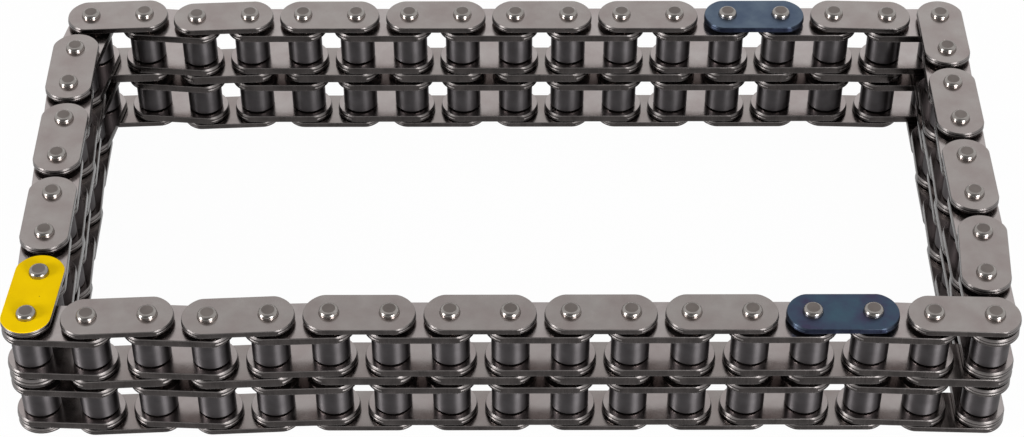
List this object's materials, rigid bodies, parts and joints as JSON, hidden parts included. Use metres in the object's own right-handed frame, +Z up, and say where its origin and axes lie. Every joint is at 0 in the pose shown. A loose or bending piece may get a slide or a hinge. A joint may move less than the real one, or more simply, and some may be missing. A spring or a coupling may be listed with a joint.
{
  "type": "timing chain",
  "caption": "Endless duplex roller chain for a timing drive, lying as a loop: plates, pins, bushes and rollers, with coloured mark plates.",
  "frame": {"origin": "centre of the loop's box, in the plane that the lower pin ends stand on", "axes": "+X along the loop's long sides, +Y towards the back row, +Z up along the pins"},
  "size_m": [0.1622, 0.0852, 0.025],
  "materials": {
    "outer_link_steel": "satin, tumbled",
    "inner_link_steel": "satin, dark",
    "yellow_paint": "paint on the top face",
    "blue_steel": "temper blue, satin"
  },
  "bodies": {
    "outer_link_01": {"outer_link_01": "outer_link_steel"},
    "inner_link_01": {"inner_link_01": "inner_link_steel"},
    "outer_link_02": {"outer_link_02": "outer_link_steel"},
    "inner_link_02": {"inner_link_02": "inner_link_steel"},
    "outer_link_03": {"outer_link_03": "outer_link_steel"},
    "inner_link_03": {"inner_link_03": "inner_link_steel"},
    "outer_link_04": {"outer_link_04": "outer_link_steel"},
    "inner_link_04": {"inner_link_04": "inner_link_steel"},
    "outer_link_05": {"outer_link_05": "outer_link_steel"},
    "inner_link_05": {"inner_link_05": "inner_link_steel"},
    "outer_link_06": {"outer_link_06": "outer_link_steel"},
    "inner_link_06": {"inner_link_06": "inner_link_steel"},
    "outer_link_07": {"outer_link_07": "outer_link_steel", "blue_mark_plate_back": "blue_steel"},
    "inner_link_07": {"inner_link_07": "inner_link_steel"},
    "outer_link_08": {"outer_link_08": "outer_link_steel"},
    "inner_link_08": {"inner_link_08": "inner_link_steel"},
    "outer_link_09": {"outer_link_09": "outer_link_steel"},
    "inner_link_09": {"inner_link_09": "inner_link_steel"},
    "outer_link_10": {"outer_link_10": "outer_link_steel"},
    "inner_link_10": {"inner_link_10": "inner_link_steel"},
    "outer_link_11": {"outer_link_11": "outer_link_steel"},
    "inner_link_11": {"inner_link_11": "inner_link_steel"},
    "outer_link_12": {"outer_link_12": "outer_link_steel"},
    "inner_link_12": {"inner_link_12": "inner_link_steel"},
    "outer_link_13": {"outer_link_13": "outer_link_steel"},
    "inner_link_13": {"inner_link_13": "inner_link_steel"},
    "outer_link_14": {"outer_link_14": "outer_link_steel", "blue_mark_plate_front": "blue_steel"},
    "inner_link_14": {"inner_link_14": "inner_link_steel"},
    "outer_link_15": {"outer_link_15": "outer_link_steel"},
    "inner_link_15": {"inner_link_15": "inner_link_steel"},
    "outer_link_16": {"outer_link_16": "outer_link_steel"},
    "inner_link_16": {"inner_link_16": "inner_link_steel"},
    "outer_link_17": {"outer_link_17": "outer_link_steel"},
    "inner_link_17": {"inner_link_17": "inner_link_steel"},
    "outer_link_18": {"outer_link_18": "outer_link_steel"},
    "inner_link_18": {"inner_link_18": "inner_link_steel"},
    "outer_link_19": {"outer_link_19": "outer_link_steel"},
    "inner_link_19": {"inner_link_19": "inner_link_steel"},
    "outer_link_20": {"outer_link_20": "outer_link_steel"},
    "inner_link_20": {"inner_link_20": "inner_link_steel"},
    "outer_link_21": {"outer_link_21": "outer_link_steel", "yellow_mark_plate": "yellow_paint"},
    "inner_link_21": {"inner_link_21": "inner_link_steel"},
    "outer_link_22": {"outer_link_22": "outer_link_steel"},
    "inner_link_22": {"inner_link_22": "inner_link_steel"},
    "outer_link_23": {"outer_link_23": "outer_link_steel"},
    "inner_link_23": {"inner_link_23": "inner_link_steel"},
    "outer_link_24": {"outer_link_24": "outer_link_steel"},
    "inner_link_24": {"inner_link_24": "inner_link_steel"}
  },
  "joints": [
    {"name": "turn_17", "type": "hinge", "parent": "inner_link_16", "child": "outer_link_17", "pos_m": [-0.00016, -0.03765, 0], "axis": [0, 0, 1], "range_deg": [-90, 90]},
    {"name": "pivot_34", "type": "hinge", "parent": "outer_link_17", "child": "inner_link_17", "pos_m": [-0.00969, -0.03765, 0], "axis": [0, 0, 1], "range_deg": [-90, 90]},
    {"name": "turn_18", "type": "hinge", "parent": "inner_link_17", "child": "outer_link_18", "pos_m": [-0.01921, -0.03765, 0], "axis": [0, 0, 1], "range_deg": [-90, 90]},
    {"name": "pivot_36", "type": "hinge", "parent": "outer_link_18", "child": "inner_link_18", "pos_m": [-0.02874, -0.03765, 0], "axis": [0, 0, 1], "range_deg": [-90, 90]},
    {"name": "turn_19", "type": "hinge", "parent": "inner_link_18", "child": "outer_link_19", "pos_m": [-0.03826, -0.03795, 0], "axis": [0, 0, 1], "range_deg": [-90, 90]},
    {"name": "pivot_38", "type": "hinge", "parent": "outer_link_19", "child": "inner_link_19", "pos_m": [-0.04777, -0.03845, 0], "axis": [0, 0, 1], "range_deg": [-90, 90]},
    {"name": "turn_20", "type": "hinge", "parent": "inner_link_19", "child": "outer_link_20", "pos_m": [-0.05728, -0.03798, 0], "axis": [0, 0, 1], "range_deg": [-20, 80]},
    {"name": "pivot_40", "type": "hinge", "parent": "outer_link_20", "child": "inner_link_20", "pos_m": [-0.0668, -0.03848, 0], "axis": [0, 0, 1], "range_deg": [-80, 20]},
    {"name": "turn_21", "type": "hinge", "parent": "inner_link_20", "child": "outer_link_21", "pos_m": [-0.07631, -0.03801, 0], "axis": [0, 0, 1], "range_deg": [-20, 80]},
    {"name": "pivot_42", "type": "hinge", "parent": "outer_link_21", "child": "inner_link_21", "pos_m": [-0.07556, -0.02852, 0], "axis": [0, 0, 1], "range_deg": [-80, 20]},
    {"name": "turn_22", "type": "hinge", "parent": "inner_link_21", "child": "outer_link_22", "pos_m": [-0.07601, -0.019, 0], "axis": [0, 0, 1], "range_deg": [-90, 90]},
    {"name": "pivot_44", "type": "hinge", "parent": "outer_link_22", "child": "inner_link_22", "pos_m": [-0.07604, -0.00948, 0], "axis": [0, 0, 1], "range_deg": [-90, 90]},
    {"name": "turn_23", "type": "hinge", "parent": "inner_link_22", "child": "outer_link_23", "pos_m": [-0.07649, 0.00004, 0], "axis": [0, 0, 1], "range_deg": [-90, 90]},
    {"name": "pivot_46", "type": "hinge", "parent": "outer_link_23", "child": "inner_link_23", "pos_m": [-0.07653, 0.00956, 0], "axis": [0, 0, 1], "range_deg": [-90, 90]},
    {"name": "turn_24", "type": "hinge", "parent": "inner_link_23", "child": "outer_link_24", "pos_m": [-0.07697, 0.01908, 0], "axis": [0, 0, 1], "range_deg": [-20, 80]},
    {"name": "pivot_48", "type": "hinge", "parent": "outer_link_24", "child": "inner_link_24", "pos_m": [-0.07701, 0.0286, 0], "axis": [0, 0, 1], "range_deg": [-80, 20]},
    {"name": "pivot_01", "type": "hinge", "parent": "inner_link_24", "child": "outer_link_01", "pos_m": [-0.07535, 0.03798, 0], "axis": [0, 0, 1], "range_deg": [-20, 80]},
    {"name": "pivot_02", "type": "hinge", "parent": "outer_link_01", "child": "inner_link_01", "pos_m": [-0.06584, 0.03848, 0], "axis": [0, 0, 1], "range_deg": [-80, 20]},
    {"name": "pivot_03", "type": "hinge", "parent": "inner_link_01", "child": "outer_link_02", "pos_m": [-0.05636, 0.0376, 0], "axis": [0, 0, 1], "range_deg": [-90, 90]},
    {"name": "pivot_04", "type": "hinge", "parent": "outer_link_02", "child": "inner_link_02", "pos_m": [-0.04685, 0.0381, 0], "axis": [0, 0, 1], "range_deg": [-90, 90]},
    {"name": "pivot_05", "type": "hinge", "parent": "inner_link_02", "child": "outer_link_03", "pos_m": [-0.03732, 0.0381, 0], "axis": [0, 0, 1], "range_deg": [-90, 90]},
    {"name": "pivot_06", "type": "hinge", "parent": "outer_link_03", "child": "inner_link_03", "pos_m": [-0.0278, 0.0381, 0], "axis": [0, 0, 1], "range_deg": [-90, 90]},
    {"name": "pivot_07", "type": "hinge", "parent": "inner_link_03", "child": "outer_link_04", "pos_m": [-0.01827, 0.03809, 0], "axis": [0, 0, 1], "range_deg": [-90, 90]},
    {"name": "pivot_08", "type": "hinge", "parent": "outer_link_04", "child": "inner_link_04", "pos_m": [-0.00875, 0.03809, 0], "axis": [0, 0, 1], "range_deg": [-90, 90]},
    {"name": "turn_16", "type": "hinge", "parent": "inner_link_16", "child": "outer_link_16", "pos_m": [0.00936, -0.03765, 0], "axis": [0, 0, 1], "range_deg": [-90, 90]},
    {"name": "pivot_31", "type": "hinge", "parent": "outer_link_16", "child": "inner_link_15", "pos_m": [0.01889, -0.03765, 0], "axis": [0, 0, 1], "range_deg": [-90, 90]},
    {"name": "turn_15", "type": "hinge", "parent": "inner_link_15", "child": "outer_link_15", "pos_m": [0.02841, -0.03765, 0], "axis": [0, 0, 1], "range_deg": [-90, 90]},
    {"name": "pivot_29", "type": "hinge", "parent": "outer_link_15", "child": "inner_link_14", "pos_m": [0.03794, -0.03765, 0], "axis": [0, 0, 1], "range_deg": [-90, 90]},
    {"name": "turn_14", "type": "hinge", "parent": "inner_link_14", "child": "outer_link_14", "pos_m": [0.04746, -0.03765, 0], "axis": [0, 0, 1], "range_deg": [-90, 90]},
    {"name": "pivot_27", "type": "hinge", "parent": "outer_link_14", "child": "inner_link_13", "pos_m": [0.05699, -0.03765, 0], "axis": [0, 0, 1], "range_deg": [-90, 90]},
    {"name": "turn_13", "type": "hinge", "parent": "inner_link_13", "child": "outer_link_13", "pos_m": [0.0665, -0.03808, 0], "axis": [0, 0, 1], "range_deg": [-20, 80]},
    {"name": "pivot_25", "type": "hinge", "parent": "outer_link_13", "child": "inner_link_12", "pos_m": [0.07602, -0.03841, 0], "axis": [0, 0, 1], "range_deg": [-80, 20]},
    {"name": "pivot_24", "type": "hinge", "parent": "inner_link_12", "child": "outer_link_12", "pos_m": [0.07596, -0.02889, 0], "axis": [0, 0, 1], "range_deg": [-20, 80]},
    {"name": "pivot_23", "type": "hinge", "parent": "outer_link_12", "child": "inner_link_11", "pos_m": [0.0767, -0.01939, 0], "axis": [0, 0, 1], "range_deg": [-80, 20]},
    {"name": "pivot_22", "type": "hinge", "parent": "inner_link_11", "child": "outer_link_11", "pos_m": [0.07664, -0.00987, 0], "axis": [0, 0, 1], "range_deg": [-90, 90]},
    {"name": "pivot_21", "type": "hinge", "parent": "outer_link_11", "child": "inner_link_10", "pos_m": [0.0766, -0.00034, 0], "axis": [0, 0, 1], "range_deg": [-90, 90]},
    {"name": "pivot_20", "type": "hinge", "parent": "inner_link_10", "child": "outer_link_10", "pos_m": [0.07682, 0.00918, 0], "axis": [0, 0, 1], "range_deg": [-90, 90]},
    {"name": "pivot_19", "type": "hinge", "parent": "outer_link_10", "child": "inner_link_09", "pos_m": [0.07679, 0.01871, 0], "axis": [0, 0, 1], "range_deg": [-90, 90]},
    {"name": "pivot_18", "type": "hinge", "parent": "inner_link_09", "child": "outer_link_09", "pos_m": [0.07701, 0.02823, 0], "axis": [0, 0, 1], "range_deg": [-20, 80]},
    {"name": "pivot_17", "type": "hinge", "parent": "outer_link_09", "child": "inner_link_08", "pos_m": [0.07697, 0.03775, 0], "axis": [0, 0, 1], "range_deg": [-80, 20]},
    {"name": "pivot_16", "type": "hinge", "parent": "inner_link_08", "child": "outer_link_08", "pos_m": [0.06745, 0.03775, 0], "axis": [0, 0, 1], "range_deg": [-20, 80]},
    {"name": "pivot_15", "type": "hinge", "parent": "outer_link_08", "child": "inner_link_07", "pos_m": [0.05793, 0.03809, 0], "axis": [0, 0, 1], "range_deg": [-80, 20]},
    {"name": "pivot_14", "type": "hinge", "parent": "inner_link_07", "child": "outer_link_07", "pos_m": [0.0484, 0.03809, 0], "axis": [0, 0, 1], "range_deg": [-90, 90]},
    {"name": "pivot_13", "type": "hinge", "parent": "outer_link_07", "child": "inner_link_06", "pos_m": [0.03888, 0.03809, 0], "axis": [0, 0, 1], "range_deg": [-90, 90]},
    {"name": "pivot_12", "type": "hinge", "parent": "inner_link_06", "child": "outer_link_06", "pos_m": [0.02935, 0.03809, 0], "axis": [0, 0, 1], "range_deg": [-90, 90]},
    {"name": "pivot_11", "type": "hinge", "parent": "outer_link_06", "child": "inner_link_05", "pos_m": [0.01983, 0.03809, 0], "axis": [0, 0, 1], "range_deg": [-90, 90]},
    {"name": "pivot_10", "type": "hinge", "parent": "inner_link_05", "child": "outer_link_05", "pos_m": [0.0103, 0.03809, 0], "axis": [0, 0, 1], "range_deg": [-90, 90]}
  ],
  "couplings": [
    {"joint": "pivot_34", "follows": "turn_17", "ratio": -1},
    {"joint": "pivot_36", "follows": "turn_18", "ratio": -1},
    {"joint": "pivot_38", "follows": "turn_19", "ratio": -1},
    {"joint": "pivot_40", "follows": "turn_20", "ratio": -1},
    {"joint": "pivot_42", "follows": "turn_21", "ratio": -1},
    {"joint": "pivot_44", "follows": "turn_22", "ratio": -1},
    {"joint": "pivot_46", "follows": "turn_23", "ratio": -1},
    {"joint": "pivot_48", "follows": "turn_24", "ratio": -1},
    {"joint": "pivot_01", "follows": "turn_20", "ratio": 1},
    {"joint": "pivot_02", "follows": "turn_20", "ratio": -1},
    {"joint": "pivot_03", "follows": "turn_19", "ratio": 1},
    {"joint": "pivot_04", "follows": "turn_19", "ratio": -1},
    {"joint": "pivot_05", "follows": "turn_18", "ratio": 1},
    {"joint": "pivot_06", "follows": "turn_18", "ratio": -1},
    {"joint": "pivot_07", "follows": "turn_17", "ratio": 1},
    {"joint": "pivot_08", "follows": "turn_17", "ratio": -1},
    {"joint": "pivot_31", "follows": "turn_16", "ratio": -1},
    {"joint": "pivot_29", "follows": "turn_15", "ratio": -1},
    {"joint": "pivot_27", "follows": "turn_14", "ratio": -1},
    {"joint": "pivot_25", "follows": "turn_13", "ratio": -1},
    {"joint": "pivot_24", "follows": "turn_21", "ratio": 1},
    {"joint": "pivot_23", "follows": "turn_21", "ratio": -1},
    {"joint": "pivot_22", "follows": "turn_22", "ratio": 1},
    {"joint": "pivot_21", "follows": "turn_22", "ratio": -1},
    {"joint": "pivot_20", "follows": "turn_23", "ratio": 1},
    {"joint": "pivot_19", "follows": "turn_23", "ratio": -1},
    {"joint": "pivot_18", "follows": "turn_24", "ratio": 1},
    {"joint": "pivot_17", "follows": "turn_24", "ratio": -1},
    {"joint": "pivot_16", "follows": "turn_13", "ratio": 1},
    {"joint": "pivot_15", "follows": "turn_13", "ratio": -1},
    {"joint": "pivot_14", "follows": "turn_14", "ratio": 1},
    {"joint": "pivot_13", "follows": "turn_14", "ratio": -1},
    {"joint": "pivot_12", "follows": "turn_15", "ratio": 1},
    {"joint": "pivot_11", "follows": "turn_15", "ratio": -1},
    {"joint": "pivot_10", "follows": "turn_16", "ratio": 1}
  ]
}
